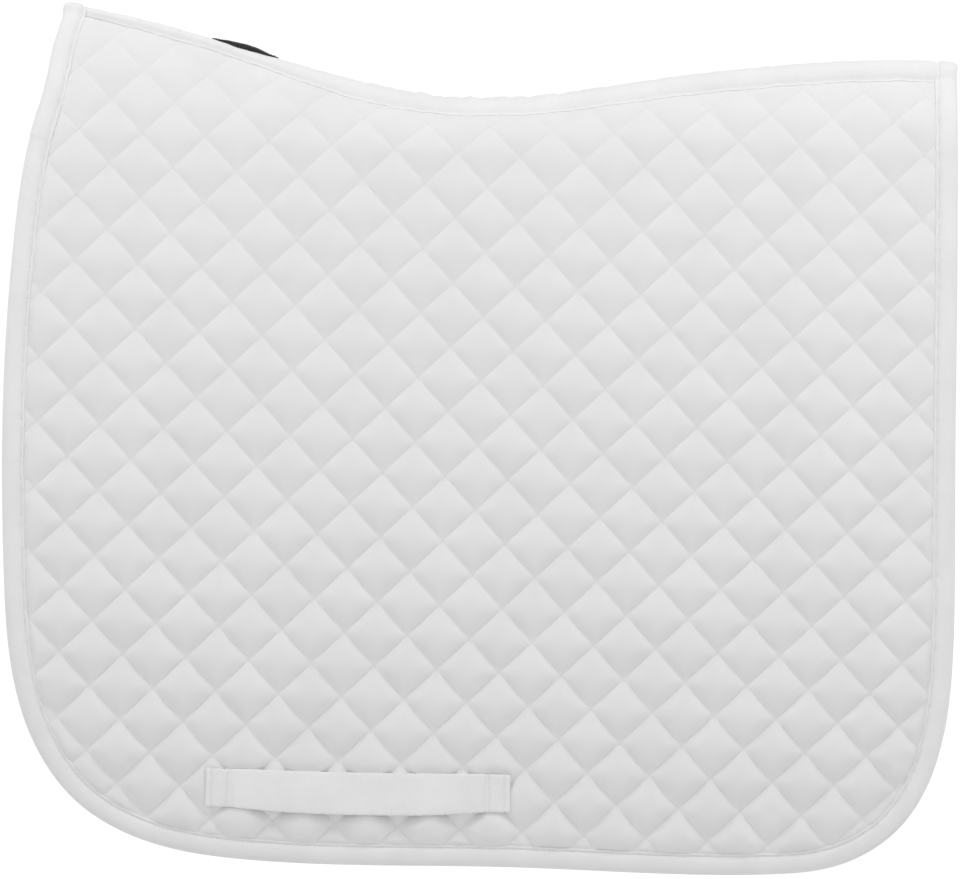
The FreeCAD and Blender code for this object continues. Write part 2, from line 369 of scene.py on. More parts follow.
def closed(faces, count):
    """A sheet's quads, those of its copy count points further on, and the walls between their rims."""
    directed = np.concatenate([faces[:, [a, (a + 1) % 4]] for a in range(4)])
    rim = directed[~np.isin(edge_keys(directed[:, ::-1]), edge_keys(directed))]
    walls = np.stack([rim[:, 1], rim[:, 0], rim[:, 0] + count, rim[:, 1] + count], 1)
    return np.concatenate([faces, faces[:, ::-1] + count, walls])


# ---- the quilted cloth, flat ----
def quilt_point(i, j):
    """Flat place of a point of the quilting lattice, which has its lines at whole i and j."""
    p, q = (i + j) / 10, (i - j) / 10
    u = QUILT_ORIGIN[0] + QUILT_DOWN[0] * i + QUILT_UP[0] * j
    v = QUILT_ORIGIN[1] + QUILT_DOWN[1] * i + QUILT_UP[1] * j
    u = u + QUILT_DRIFT_U[0] * p**2 + QUILT_DRIFT_U[1] * p * q + QUILT_DRIFT_U[2] * q**2
    v = v + QUILT_DRIFT_V[0] * p**2 + QUILT_DRIFT_V[1] * p * q + QUILT_DRIFT_V[2] * q**2
    return u, v


def quilt_grid(steps, rim):
    """Flat panel in cells along the quilting: its points' lattice and flat places, quads and edges."""
    span = np.arange(-CELLS * steps, CELLS * steps + 1)
    i, j = [a.ravel() for a in np.meshgrid(span, span, indexing="ij")]
    u, v = quilt_point(i / steps, j / steps)
    faces = grid_faces(len(span), len(span))
    near = (np.abs(u) < REACH_U) & (v > REACH_V[0]) & (v < REACH_V[1])
    inside = np.zeros(len(u), bool)
    inside[near] = (nearest(u[near], v[near], EDGE) > rim) & (v[near] < seam_v(u[near]) - 0.5)
    faces = faces[inside[faces].all(1)]
    used = np.unique(faces)
    index = np.full(len(u), -1)
    index[used] = np.arange(len(used))
    faces = index[faces][:, ::-1]
    i, j, u, v = i[used], j[used], u[used].copy(), v[used].copy()
    edges, counts = np.unique(np.sort(np.concatenate([faces[:, [a, (a + 1) % 4]] for a in range(4)]), 1),
                              axis=0, return_counts=True)
    loose = np.unique(edges[counts == 1])
    snap_rim(u, v, loose, rim)
    return i, j, u, v, faces, edges


def snap_rim(u, v, loose, rim):
    """Moves the outermost points out to the seam or to the rim inside the bound edge."""
    low = seam_v(u[loose]) - v[loose] < 9
    v[loose[low]] = seam_v(u[loose[low]]) - 0.5
    for _ in range(2):
        step = 0.05
        gap = nearest(u[loose], v[loose], EDGE)
        gu = (nearest(u[loose] + step, v[loose], EDGE) - gap) / step
        gv = (nearest(u[loose], v[loose] + step, EDGE) - gap) / step
        close = gap < rim + 9
        size = np.maximum(np.hypot(gu, gv), 0.2)
        u[loose[close]] -= ((gap - rim) * gu / size**2)[close]
        both = close & ~low
        v[loose[both]] -= ((gap - rim) * gv / size**2)[both]


PUFFED_CLOTH = {"quality": 5, "mass": 0.3, "tension_stiffness": 15, "compression_stiffness": 15,
                "shear_stiffness": 5, "bending_stiffness": 0.5, "air_damping": 4,
                "use_pressure": True, "uniform_pressure_force": 40, "shrink_min": -0.03}
PUFF_FRAMES = 20
PUFF_SCALE = 0.01        # the panel is simulated at this many units to the millimetre


def simulate_puffs(u, v, faces, held):
    """Cloth simulation of the panel, flat and held along its seams, blown up from below."""
    start = np.stack([u * PUFF_SCALE, v * PUFF_SCALE, np.zeros(len(u))], 1)
    mesh = bpy.data.meshes.new("panel")
    mesh.from_pydata(start.tolist(), [], faces.tolist())
    obj = new_object("panel", mesh)
    group = obj.vertex_groups.new(name="seams")
    group.add(np.flatnonzero(held).tolist(), 1.0, "REPLACE")
    cloth = obj.modifiers.new("puff", "CLOTH")
    for name, value in PUFFED_CLOTH.items():
        setattr(cloth.settings, name, value)
    cloth.settings.vertex_group_mass = group.name
    cloth.settings.effector_weights.gravity = 0
    cloth.collision_settings.use_collision = False
    cloth.collision_settings.use_self_collision = False
    scene = bpy.context.scene
    for number in range(1, PUFF_FRAMES + 1):
        scene.frame_set(number)
    done = obj.evaluated_get(bpy.context.evaluated_depsgraph_get())
    moved = read(done.data.vertices, "co", 3)
    scene.frame_set(1)
    bpy.data.objects.remove(obj)
    bpy.data.meshes.remove(mesh)
    return (moved - start) / PUFF_SCALE


def subdivided(points, faces, edges, sharp):
    """Panel after one subdivision that keeps the sharp edges as lines: points, quads, lattice places."""
    mesh = bpy.data.meshes.new("panel")
    mesh.from_pydata(points.tolist(), [], faces.tolist())
    ends = np.sort(read(mesh.edges, "vertices", 2, int), 1)
    marks = np.isin(edge_keys(ends), edge_keys(edges)[sharp]).astype(np.float32)
    mesh.attributes.new("crease_edge", "FLOAT", "EDGE").data.foreach_set("value", marks)
    for name, values in (("line_i", LATTICE_I), ("line_j", LATTICE_J)):
        places = (values / CELL_STEPS).astype(np.float32)
        mesh.attributes.new(name, "FLOAT", "POINT").data.foreach_set("value", places)
    obj = new_object("panel", mesh)
    obj.modifiers.new("fine", "SUBSURF").levels = 1
    done = obj.evaluated_get(bpy.context.evaluated_depsgraph_get()).data
    out = read(done.vertices, "co", 3)
    quads = read(done.loops, "vertex_index", kind=int).reshape(-1, 4)
    lines = [read(done.attributes[name].data, "value") for name in ("line_i", "line_j")]
    bpy.data.objects.remove(obj)
    bpy.data.meshes.remove(mesh)
    return out, quads, lines


def sharpen(obj, lines):
    """Crisp shading where the cloth is stitched down along whole lattice lines."""
    a, b = read(obj.data.edges, "vertices", 2, int).T
    sharp = np.zeros(len(a), bool)
    for line in lines:
        whole = np.abs(line - np.round(line)) < 0.02
        sharp |= whole[a] & whole[b] & (np.round(line[a]) == np.round(line[b]))
    obj.data.attributes.new("sharp_edge", "BOOLEAN", "EDGE").data.foreach_set("value", sharp)


def ease(x):
    """0 below 0, 1 above 1, and a smooth step between."""
    x = np.clip(x, 0, 1)
    return x * x * (3 - 2 * x)


def tape_drift(u):
    """How far the spine tape and its seam have rolled over to the right side."""
    return 9 * (1 - ease((u + 190) / 130)) + 2 * (1 - ease((u + 270) / 60))


# ---- sides ----
# side is +1 for the right-hand side, at +Y, and -1 for the left, the side seen in front.
SIDES = {1: "right", -1: "left"}


def on_side(points, side):
    """Points worked out for the right side, as they are on a side."""
    out = np.array(points, float)
    out[..., 1] *= side
    return out


def quads_for(faces, side):
    """Mirrored pieces have their faces turned round, so that they still face out."""
    return faces if side > 0 else faces[:, ::-1]


def beside_binding(edge_gap):
    """Greatest height of a puff at a distance from the bound edge, rounded up from the binding."""
    share = np.clip((edge_gap - TAPE_EDGE_AT - 0.1) / BOUND_REACH, 0, 1)
    return BOUND_RISE * np.sqrt(1 - (1 - share)**2)


def strap_level(x, across):
    """Height of the strap's back over the CAD face, its thickness, and how free it is."""
    free = STRAP_HALF - STRAP_TAB
    share = np.clip(1 - (np.abs(x) / free)**STRAP_FULLNESS, 0, 1)
    sewn = ease((np.abs(x) - free + 4) / 6)
    end = ease((STRAP_HALF - np.abs(x)) / 1.2)
    lean = 0.55 - 0.45 * np.clip(across / (STRAP_WIDTH / 2), -1, 1)
    seated = STRAP_CLEARANCE - 1.3 * ease(0.5 + across / STRAP_WIDTH)
    level = -1.75 * sewn + (1 - sewn) * seated + STRAP_BOW * share * lean
    folded = ease((np.abs(x) - free) / 0.7 + 0.5)
    groove = sum(np.exp(-((STRAP_HALF - np.abs(x) - row) / 0.75)**2) for row in STITCH_ROWS)
    thick = STRAP_THICK * 0.75 + 0.8 * folded - 0.75 * groove - 1.5 * (1 - end)
    return level + 0.9 * (1 - end), thick, share


def pressed(u, v, height, edge_gap, side):
    """Puff heights, less where the spine tape, the binding or the strap holds the cloth down."""
    height = np.minimum(height, beside_binding(edge_gap))
    seam_gap = seam_v(u) - v - (SPINE_TAPE_WIDTH / 2 + side * tape_drift(u))
    height = height * ease((seam_gap + 0.6) / 5)
    x, across = strap_place(u, v)
    wide = STRAP_WIDTH / 2
    beyond = np.maximum(np.abs(x) - STRAP_HALF, np.abs(across) - wide)
    level, _, _ = strap_level(np.clip(x, -STRAP_HALF, STRAP_HALF), np.clip(across, -wide, wide))
    room = SEAM_DEPTH + level - 0.25 + np.maximum(beyond + 0.5, 0) * 0.55
    return np.minimum(height, room)


def strap_place(u, v):
    """Place of flat points along and across the girth strap, from its middle."""
    tilt = math.radians(STRAP_TILT)
    x, y = u - STRAP_MIDDLE[0], v - STRAP_MIDDLE[1]
    return x * math.cos(tilt) - y * math.sin(tilt), x * math.sin(tilt) + y * math.cos(tilt)


def strap_flat(x, across):
    """Flat place of points along and across the girth strap."""
    tilt = math.radians(STRAP_TILT)
    return (STRAP_MIDDLE[0] + x * math.cos(tilt) + across * math.sin(tilt),
            STRAP_MIDDLE[1] - x * math.sin(tilt) + across * math.cos(tilt))


def bend_with_flap(obj, side):
    """Cloth that runs from the ridge on to a flap, with its placing baked into its mesh."""
    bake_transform(obj)


def nodes_of(side, *names):
    """Names of CAD nodes on a side."""
    return [f"{SIDES[side]}_{name}" for name in names]


# ---- materials, with the pitch of their yarns in metres ----
def new_material(name, roughness, sheen=0.0):
    """Procedural material: makers of its nodes' outputs, and the call that completes it."""
    material = bpy.data.materials.new(name)
    material.use_nodes = True
    tree = material.node_tree
    shader = tree.nodes["Principled BSDF"]
    shader.inputs["Roughness"].default_value = roughness
    shader.inputs["Sheen Weight"].default_value = sheen
    shader.inputs["Sheen Roughness"].default_value = 0.5
    shader.inputs["Specular IOR Level"].default_value = 0.3

    def node(kind, output, links, **values):
        made = tree.nodes.new(kind)
        for key, value in values.items():
            if key in made.inputs:
                made.inputs[key].default_value = value
            else:
                setattr(made, key, value)
        for key, source in links.items():
            tree.links.new(source, made.inputs[key])
        return made.outputs[output]

    def combine(operation, first, second):
        """Sum, product or difference of an output and of another output or a number."""
        made = tree.nodes.new("ShaderNodeMath")
        made.operation = operation
        tree.links.new(first, made.inputs[0])
        if isinstance(second, float):
            made.inputs[1].default_value = second
        else:
            tree.links.new(second, made.inputs[1])
        return made.outputs[0]

    def complete(low, high, tone, height, strength, distance):
        """Colour between low and high by tone, and bump from height."""
        colour = node("ShaderNodeValToRGB", "Color", {"Fac": tone})
        stops = colour.node.color_ramp.elements
        stops[0].position = 0.25
        stops[0].color = (*low, 1)
        stops[1].position = 0.75
        stops[1].color = (*high, 1)
        tree.links.new(colour, shader.inputs["Base Color"])
        bump = node("ShaderNodeBump", "Normal", {"Height": height}, Strength=strength, Distance=distance)
        tree.links.new(bump, shader.inputs["Normal"])
        return material
    return node, combine, complete


def bands(node, at, direction, scale, distortion, **more):
    """Parallel bands, such as yarns or ribs."""
    return node("ShaderNodeTexWave", "Fac", {"Vector": at}, wave_type="BANDS",
                bands_direction=direction, Scale=scale, Distortion=distortion, **more)


def clouds(node, at, scale, detail, roughness=0.5):
    """Soft random mottling."""
    return node("ShaderNodeTexNoise", "Fac", {"Vector": at}, Scale=scale, Detail=detail,
                Roughness=roughness)


def woven(name, low, high, pitch, twill=0.0, roughness=0.9, sheen=0.15, strength=0.5):
    """Woven cloth: crossing yarns by the cloth coordinates, slubs, and a soft mottling."""
    node, combine, complete = new_material(name, roughness, sheen)
    cloth = node("ShaderNodeTexCoord", "UV", {})
    turned = node("ShaderNodeMapping", "Vector", {"Vector": cloth}, Rotation=(0, 0, twill))
    scale = 1 / (2 * pitch)
    warp = bands(node, turned, "X", scale, 1.2, **{"Detail Scale": 3.0})
    weft = bands(node, turned, "Y", scale * 0.8, 1.2)
    slub = clouds(node, cloth, 0.35 / pitch, 4.0, 0.6)
    rough = combine("ADD", combine("ADD", warp, weft), slub)
    total = combine("ADD", combine("MULTIPLY", rough, 0.12), clouds(node, cloth, 22.0, 5.0, 0.55))
    return complete(low, high, combine("SUBTRACT", total, 0.2), rough, strength, pitch * 0.35)


def ribbed(name, low, high, pitch, roughness=0.75, strength=0.6):
    """Ribbed tape or webbing: ribs across its length, fine yarns along them."""
    node, combine, complete = new_material(name, roughness, 0.1)
    cloth = node("ShaderNodeTexCoord", "UV", {})
    ribs = bands(node, cloth, "X", 1 / (2 * pitch), 0.6)
    height = combine("ADD", ribs, bands(node, cloth, "Y", 1 / (1.1 * pitch), 0.8))
    tone = combine("ADD", combine("MULTIPLY", height, 0.15), clouds(node, cloth, 30.0, 5.0))
    return complete(low, high, combine("SUBTRACT", tone, 0.15), height, strength, pitch * 0.3)


def thread_material(name, low, high):
    """Twisted sewing thread."""
    node, _, complete = new_material(name, 0.55, 0.1)
    at = node("ShaderNodeTexCoord", "Object", {})
    ply = bands(node, at, "DIAGONAL", 900.0, 0.5)
    return complete(low, high, clouds(node, at, 1500.0, 3.0), ply, 0.4, 0.0001)


def wadding_material(name, low, high):
    """Fibre fill, with its clumps and loose fibres."""
    node, _, complete = new_material(name, 1.0, 0.3)
    at = node("ShaderNodeTexCoord", "Object", {})
    fibres = clouds(node, at, 400.0, 8.0, 0.7)
    return complete(low, high, clouds(node, at, 60.0, 4.0), fibres, 0.8, 0.001)


def grey(level):
    return level, level, level


FACE_CLOTH = woven("cotton_drill", grey(0.815), grey(0.855), 0.00055, twill=0.9)
LINING_CLOTH = woven("cotton_plain", (0.77, 0.765, 0.75), (0.84, 0.835, 0.825), 0.0007, strength=0.4)
BINDING_TAPE = ribbed("binding_twill_tape", grey(0.765), grey(0.815), 0.0008, strength=0.25)
WEBBING = ribbed("cotton_webbing", grey(0.79), grey(0.85), 0.0014, roughness=0.85, strength=0.3)
THREADS = thread_material("white_thread", grey(0.80), grey(0.88))
LABEL_BLACK = woven("label_black_satin", (0.006, 0.006, 0.007), (0.016, 0.016, 0.018), 0.00045,
                    roughness=0.55, sheen=0.05, strength=0.5)
LABEL_THREAD = thread_material("black_thread", (0.01, 0.01, 0.011), (0.025, 0.025, 0.027))
WADDING = wadding_material("polyester_wadding", (0.80, 0.80, 0.795), (0.88, 0.88, 0.875))


# ---- quilted panels ----
RIM = 3.0                # the panel is cut this far inside the bound edge
LINING_SHARE = 0.85      # how full the lining is, as a share of the face
FACE_MARGIN = 0.7        # the wadding stays this far under the face
LINING_MARGIN = 0.5      # and this far over the lining


def along_line(number):
    """Which edges run along a quilting line, from every point's i or j."""
    first, second = number[CELL_EDGES].T
    return (first == second) & (first % CELL_STEPS == 0)


LATTICE_I, LATTICE_J, FLAT_U, FLAT_V, CELL_FACES, CELL_EDGES = quilt_grid(CELL_STEPS, RIM)
HELD = ((LATTICE_I % CELL_STEPS == 0) | (LATTICE_J % CELL_STEPS == 0)
        | (nearest(FLAT_U, FLAT_V, EDGE) < BOUND_AT)
        | (seam_v(FLAT_U) - FLAT_V < TAPE_AT - tape_drift(FLAT_U)))
PUFFS = simulate_puffs(FLAT_U, FLAT_V, CELL_FACES, HELD)
luck = np.random.default_rng(7)
FULLNESS = luck.normal(1.0, 0.035, (2 * CELLS + 4, 2 * CELLS + 4))
cell_of = (LATTICE_I // CELL_STEPS + CELLS, LATTICE_J // CELL_STEPS + CELLS)
PUFFS = PUFFS * (PUFF / SIMULATED_PUFF)
PUFFS[:, 2] *= np.clip(FULLNESS[cell_of], 0.9, 1.08) * np.interp(FLAT_V, *FULLER_DOWN)
ON_LINE = along_line(LATTICE_I) | along_line(LATTICE_J)
COARSE = np.stack([FLAT_U, FLAT_V, np.zeros(len(FLAT_U))], 1) + PUFFS
FINE, FINE_FACES, FINE_LINES = subdivided(COARSE, CELL_FACES, CELL_EDGES, ON_LINE)
COARSE_GAP = nearest(*COARSE[:, :2].T, EDGE)
FINE_GAP = nearest(*FINE[:, :2].T, EDGE)
_seam = np.linspace(EDGE[-1, 0], EDGE[0, 0], 200)
_loop = np.concatenate([EDGE, np.stack([_seam, seam_v(_seam)], 1)])


def sunk(edge_gap):
    """How much deeper the cloth lies where the binding grips it."""
    return 0.25 * ease((TAPE_EDGE_AT + 0.5 - edge_gap) / 2)


def face_depth(points, edge_gap, side):
    """Depth of the face under the CAD face."""
    return SEAM_DEPTH + sunk(edge_gap) - pressed(*points.T, edge_gap, side)


def lining_depth(points, edge_gap):
    """Depth of the lining under the CAD face."""
    puff = np.minimum(points[:, 2], beside_binding(edge_gap))
    from_seam = seam_v(points[:, 0]) - points[:, 1]
    return PAD - SEAM_DEPTH - sunk(edge_gap) + LINING_SHARE * puff * ease(from_seam / 20)


def quilted(side):
    """Face, lining and wadding of one side, each one piece from the spine seam to the bottom."""
    label = SIDES[side]
    points = on_side(placed(FINE, face_depth(FINE, FINE_GAP, side)), side)
    face = add_mesh(f"{label}_quilted_face", points, quads_for(FINE_FACES, side), FACE_CLOTH,
                    FINE[:, :2])
    sharpen(face, FINE_LINES)
    bend_with_flap(face, side)
    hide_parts(*nodes_of(side, "top_face", "flap_face"))

    points = on_side(placed(COARSE, lining_depth(COARSE, COARSE_GAP)), side)
    lining = add_mesh(f"{label}_quilted_lining", points, quads_for(CELL_FACES, -side), LINING_CLOTH,
                      COARSE[:, :2])
    bend_with_flap(lining, side)
    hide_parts(*nodes_of(side, "top_lining", "flap_lining"))

    outer = placed(COARSE, face_depth(COARSE, COARSE_GAP, side) + FACE_MARGIN)
    inner = placed(COARSE, lining_depth(COARSE, COARSE_GAP) - LINING_MARGIN)
    faces = quads_for(closed(CELL_FACES, len(COARSE)), side)
    fill = add_mesh(f"{label}_wadding", on_side(np.concatenate([outer, inner]), side), faces, WADDING,
                    np.concatenate([COARSE[:, :2]] * 2))
    bend_with_flap(fill, side)
    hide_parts(*nodes_of(side, "top_wadding", "flap_wadding"))


for each_side in SIDES:
    quilted(each_side)


# ---- sewing threads ----
def stitches(name, runs, length, radius, corners, material):
    """Sewn thread: one short raised piece for each stitch, its ends sunk in the cloth.

    Each run gives its stitches' middles, directions and outward directions.
    """
    middles, along, out = [np.concatenate(column) for column in zip(*runs)]
    along = along / np.linalg.norm(along, axis=1)[:, None]
    out = out / np.linalg.norm(out, axis=1)[:, None]
    across = np.cross(along, out)
    rings = []
    for share, lift, size in ((-0.5, -0.6, 0.45), (0.0, 0.45, 1.0), (0.5, -0.6, 0.45)):
        centre = middles + along * (share * length) + out * (lift * radius)
        for k in range(corners):
            angle = 2 * math.pi * (k + 0.5) / corners - math.pi / 2
            rings.append(centre + (across * math.cos(angle) + out * math.sin(angle)) * (size * radius))
    points = np.stack(rings, 1)
    quads = grid_faces(3, corners, closed_cols=True)
    ends = np.array([list(range(corners))[::-1], list(range(2 * corners, 3 * corners))])
    start = np.arange(len(middles))[:, None, None] * (3 * corners)
    sides = (quads[None] + start).reshape(-1, 4).tolist()
    tips = (ends[None] + start).reshape(-1, corners).tolist()
    return add_mesh(name, points, sides + tips, material)


def run_of_stitches(flat, depth, pitch, side):
    """Middles, directions and outward directions of stitches along a flat line on one side."""
    spots = even(flat, pitch)
    middle = (spots[:-1] + spots[1:]) / 2
    ahead = spots[1:] - spots[:-1]
    before, at, after = [on_side(placed(middle + step * ahead, depth), side) for step in (-0.3, 0, 0.3)]
    return at, after - before, on_side(normals(*middle.T), side)


def quilting_threads(side):
    """The quilting's stitches on the face, line by line inside the binding and the spine tape."""
    runs = []
    for family in (0, 1):
        for line in range(-CELLS, CELLS + 1):
            t = np.arange(-CELLS, CELLS + 0.001, 0.1)
            i, j = (np.full(len(t), line), t) if family else (t, np.full(len(t), line))
            u, v = quilt_point(i, j)
            drift = side * tape_drift(u) + SPINE_TAPE_WIDTH / 2
            inside = (np.abs(u) < STITCHED_U) & (v > STITCHED_V) & (seam_v(u) - v > drift + 1)
            inside[inside] = nearest(u[inside], v[inside], EDGE) > BINDING_WIDTH - 0.5
            breaks = np.flatnonzero(np.diff(np.flatnonzero(inside)) > 1) + 1
            for flat in np.split(np.stack([u, v], 1)[inside], breaks):
                if len(flat) > 3:
                    runs.append(run_of_stitches(flat, SEAM_DEPTH - 0.05, QUILTING_PITCH, side))
    threads = stitches(f"{SIDES[side]}_quilting_stitches", runs, QUILTING_STITCH, 0.24, 3, THREADS)
    bend_with_flap(threads, side)


# ---- binding ----
BINDING_TAPE_THICK = 0.5
LAP_AT = (-310.5, -15.0)     # x and z where the binding's ends lap, on the left side
BOUND_GROOVE = 1.52      # half-thickness of the binding at its stitch line
# Half of the binding's section: distance from the bound edge, and half-thickness there.
BOUND_PROFILE = [(15.4, 1.5), (15.3, 1.85), (14.9, 2.12), (14.4, 2.16), (14.0, 2.0), (13.6, 1.68),
                 (BOUND_AT, BOUND_GROOVE), (12.8, 1.68), (12.3, 2.15), (11.4, 2.68), (9.8, 3.08),
                 (8.0, 3.28), (6.0, 3.3), (4.2, 3.1), (2.8, 2.7), (1.6, 2.1), (0.7, 1.35), (0.15, 0.6)]


def binding_frame():
    """Inward direction and distance at each point of the bound edge."""
    ahead = np.gradient(EDGE, axis=0)
    ahead /= np.linalg.norm(ahead, axis=1)[:, None]
    inward = np.stack([-ahead[:, 1], ahead[:, 0]], 1)
    return inward, run_along(EDGE)


def ripple(run, waves):
    """Sum of slow sine waves: rows (length, size, phase)."""
    return sum(size * np.sin(2 * math.pi * run / length + phase) for length, size, phase in waves)


INWARD, EDGE_RUN = binding_frame()
_lap = flat_v(np.array(LAP_AT[:1]), np.array(LAP_AT[1:]))[0]
LAP_RUN = EDGE_RUN[np.argmin(np.hypot(EDGE[:, 0] - LAP_AT[0], EDGE[:, 1] - _lap))]


def lap(run, side):
    """1 where the two ends of the binding lie over each other, on the left side."""
    return (side < 0) * ease((LAP_RUN - run) / 0.9) * ease((run - LAP_RUN + 24) / 8)


def bound_bulge(run, a, side):
    """Change of the binding's half-thickness: puckers by the stitches, and the lapped end."""
    by_seam = np.exp(-((a - 13.0) / 3.0)**2)
    pucker = 0.16 * by_seam * ripple(run, [(8.3, 0.5, 0.2), (13.1, 0.6, 1.1), (5.1, 0.3, 2.0)])
    return pucker + 0.45 * lap(run, side) * ease(a / 3 + 0.3)


def by_crest(run, reach=26):
    """1 at the crest, and 0 further down the bound edge than the reach."""
    return ease(1 - run / reach) + ease(1 - (EDGE_RUN[-1] - run) / reach)


def over_tape(u, v, side):
    """How far the binding stands up where it crosses the end of the spine tape."""
    tape_run = side * (seam_v(u) - v) - tape_drift(u)
    on_it = np.abs(tape_run) < SPINE_TAPE_WIDTH / 2
    return np.where(on_it, np.maximum(TAPE_LOW - tape_top(u, tape_run), 0), 0)


def binding(side):
    """The folded tape round the edge of one side, from the withers crest to the cantle crest."""
    outer = np.array(BOUND_PROFILE)
    inner = outer.copy()
    inner[:, 1] -= BINDING_TAPE_THICK
    inner[:, 0] += BINDING_TAPE_THICK * np.clip(1 - outer[:, 0] / 3, 0, 1)
    inner[:, 1] = np.maximum(inner[:, 1], 0.15)
    ring = np.concatenate([outer, outer[::-1] * (1, -1), inner * (1, -1), inner[::-1]])
    width = run_along(ring)
    a, b = ring[None, :, 0], ring[None, :, 1]
    run = EDGE_RUN[:, None]
    b = b + np.sign(b) * bound_bulge(run, a, side)
    stand_out = 0.5 * lap(run, side) + 0.9 * by_crest(run, 11)
    wander = 0.25 * ease((a - 12) / 4) * ripple(run, [(21.0, 0.6, 0.4), (9.7, 0.4, 1.9)])
    a = a - stand_out * np.clip(1 - a / 9, 0, 1) + wander
    u = EDGE[:, 0, None] + INWARD[:, 0, None] * a
    v = EDGE[:, 1, None] + INWARD[:, 1, None] * a
    v[[0, -1]] = np.maximum(v[[0, -1]], seam_v(u[[0, -1]]))
    lift = over_tape(u, v, side) * ease((b + 1.5) / 3)
    lift = lift - 0.5 * by_crest(run, 14) * ease((a - 12) / 2) * (b > 0)
    points = on_side(place(u, v, PAD / 2 - b - lift), side)
    rows, cols = points.shape[:2]
    faces = grid_faces(rows, cols, closed_cols=True)
    caps = np.array([[k, k + 1, cols - 2 - k, cols - 1 - k] for k in range(cols // 2 - 1)])
    last = caps[:, ::-1] + (rows - 1) * cols
    faces = quads_for(np.concatenate([faces, caps, last]), side)
    uv = np.stack(np.broadcast_arrays(run, width[None]), -1)
    obj = add_mesh(f"{SIDES[side]}_binding", points, faces, BINDING_TAPE, uv, crisp=55)
    bend_with_flap(obj, side)
    end_node = "withers_binding" if side > 0 else "cantle_binding"
    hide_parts(*nodes_of(side, "flap_binding"), end_node)


def binding_stitches(side):
    """Stitches through the binding, seen on its face and on its lining side."""
    runs = []
    flat = EDGE + INWARD * BOUND_AT
    flat = flat[(seam_v(flat[:, 0]) - flat[:, 1] > 6) & (by_crest(EDGE_RUN) < 0.02)]
    for face_side in (1, -1):
        depth = PAD / 2 - face_side * (BOUND_GROOVE + 0.12)
        at, along, out = run_of_stitches(flat, depth, 3.1, side)
        runs.append((at, along, out * face_side))
    sewn = stitches(f"{SIDES[side]}_binding_stitches", runs, 2.4, 0.33, 4, THREADS)
    bend_with_flap(sewn, side)


# ---- strips over the spine ----
TAPE_HALF = SPINE_TAPE_WIDTH / 2
OUTER_TAPE_INSET = 8.0   # how far inside the bound edge each tape ends, and its stitches
INNER_TAPE_INSET = 12.0
TAPE_SEWN_INSET = 17.5
LABEL_SIZE = (46, 27)    # the label along and across the spine, for its edge and stitches
LABEL_SHAPE = 1.7        # the one over the other


def crest_ends(inset):
    """Where the crest line meets an inset of the bound edge, front and rear."""
    line = EDGE + INWARD * inset
    near = seam_v(line[:, 0]) - line[:, 1]
    front = line[:200][np.argmin(np.abs(near[:200] - 0.5)), 0]
    rear = line[-200:][np.argmin(np.abs(near[-200:] - 0.5)), 0]
    return front, rear


def closed_strip(name, u, run, top, bottom, material):
    """Closed strip from rows along u and columns across, between two depths."""
    outer, inner = place_across(u, run, top), place_across(u, run, bottom)
    rows, cols = outer.shape[:2]
    uv = np.stack(np.broadcast_arrays(u, run), -1).reshape(-1, 2)
    points = np.concatenate([outer.reshape(-1, 3), inner.reshape(-1, 3)])
    obj = add_mesh(name, points, closed(grid_faces(rows, cols), rows * cols), material,
                   np.concatenate([uv, uv]), crisp=45)
    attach(obj, "ridge")
    return obj


def tape_top(u, run):
    """Depth of the outer spine tape's upper side: sewn down by its edges, full over the seam."""
    front, rear = crest_ends(10.0)
    reach = TAPE_HALF - 1.5
    share = np.where(run > -tape_drift(u), run + tape_drift(u), 0) / (reach + tape_drift(u))
    share = share + np.where(run < -tape_drift(u), -tape_drift(u) - run, 0) / (reach - tape_drift(u))
    bump = ripple(u, [(17.0, 0.22, 0.3), (11.3, 0.2, 1.7), (29.0, 0.25, 0.9), (6.7, 0.1, 0.0)])
    knobbly = ease((u + 90) / 40) * ease((100 - u) / 60)
    crown = -2.3 + 0.07 * tape_drift(u) + bump * (0.35 + 0.9 * knobbly)
    dip = 1.3 * ease(1 - (rear - u) / 9) + 0.3 * ease(1 - (u - front) / 9)
    low = TAPE_LOW + 0.1 * ripple(u, [(9.0, 0.7, 0.5), (5.3, 0.5, 0.1)])
    depth = crown + (low - crown) * np.minimum(share, 1)**2.6 + dip - np.clip(share - 1, 0, 1)
    return np.minimum(depth, TAPE_DEEPEST)


def tape_wander(u):
    """How the spine tape wanders sideways along its length."""
    return 0.4 * ripple(u, [(40.0, 0.8, 0.0), (17.0, 0.5, 1.0)])


def declare_tape(node):
    """Hides the CAD part that a spine tape stands in for."""
    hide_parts(node)


def outer_tape():
    """Tape sewn over the spine seam."""
    front, rear = crest_ends(OUTER_TAPE_INSET)
    u = np.arange(front, rear, 1.3)[:, None]
    run = np.linspace(-TAPE_HALF, TAPE_HALF, 37)[None]
    top = tape_top(u, run)
    thick = TAPE * (0.8 - 0.5 * (np.abs(run) / TAPE_HALF)**4)
    across = run + tape_drift(u) + tape_wander(u)
    tape = closed_strip("spine_tape", u, across, top, top + thick, BINDING_TAPE)
    declare_tape("spine_tape_outer")


def inner_tape():
    """Tape under the spine seam."""
    front, rear = crest_ends(INNER_TAPE_INSET)
    u = np.arange(front, rear, 3.0)[:, None]
    run = np.linspace(-TAPE_HALF, TAPE_HALF, 25)[None]
    top = 7.2 + 1.2 * (np.abs(run) / TAPE_HALF)**2 + 0 * u
    tape = closed_strip("spine_tape_inside", u, run, top, top + TAPE * 0.8, BINDING_TAPE)
    declare_tape("spine_tape_inner")


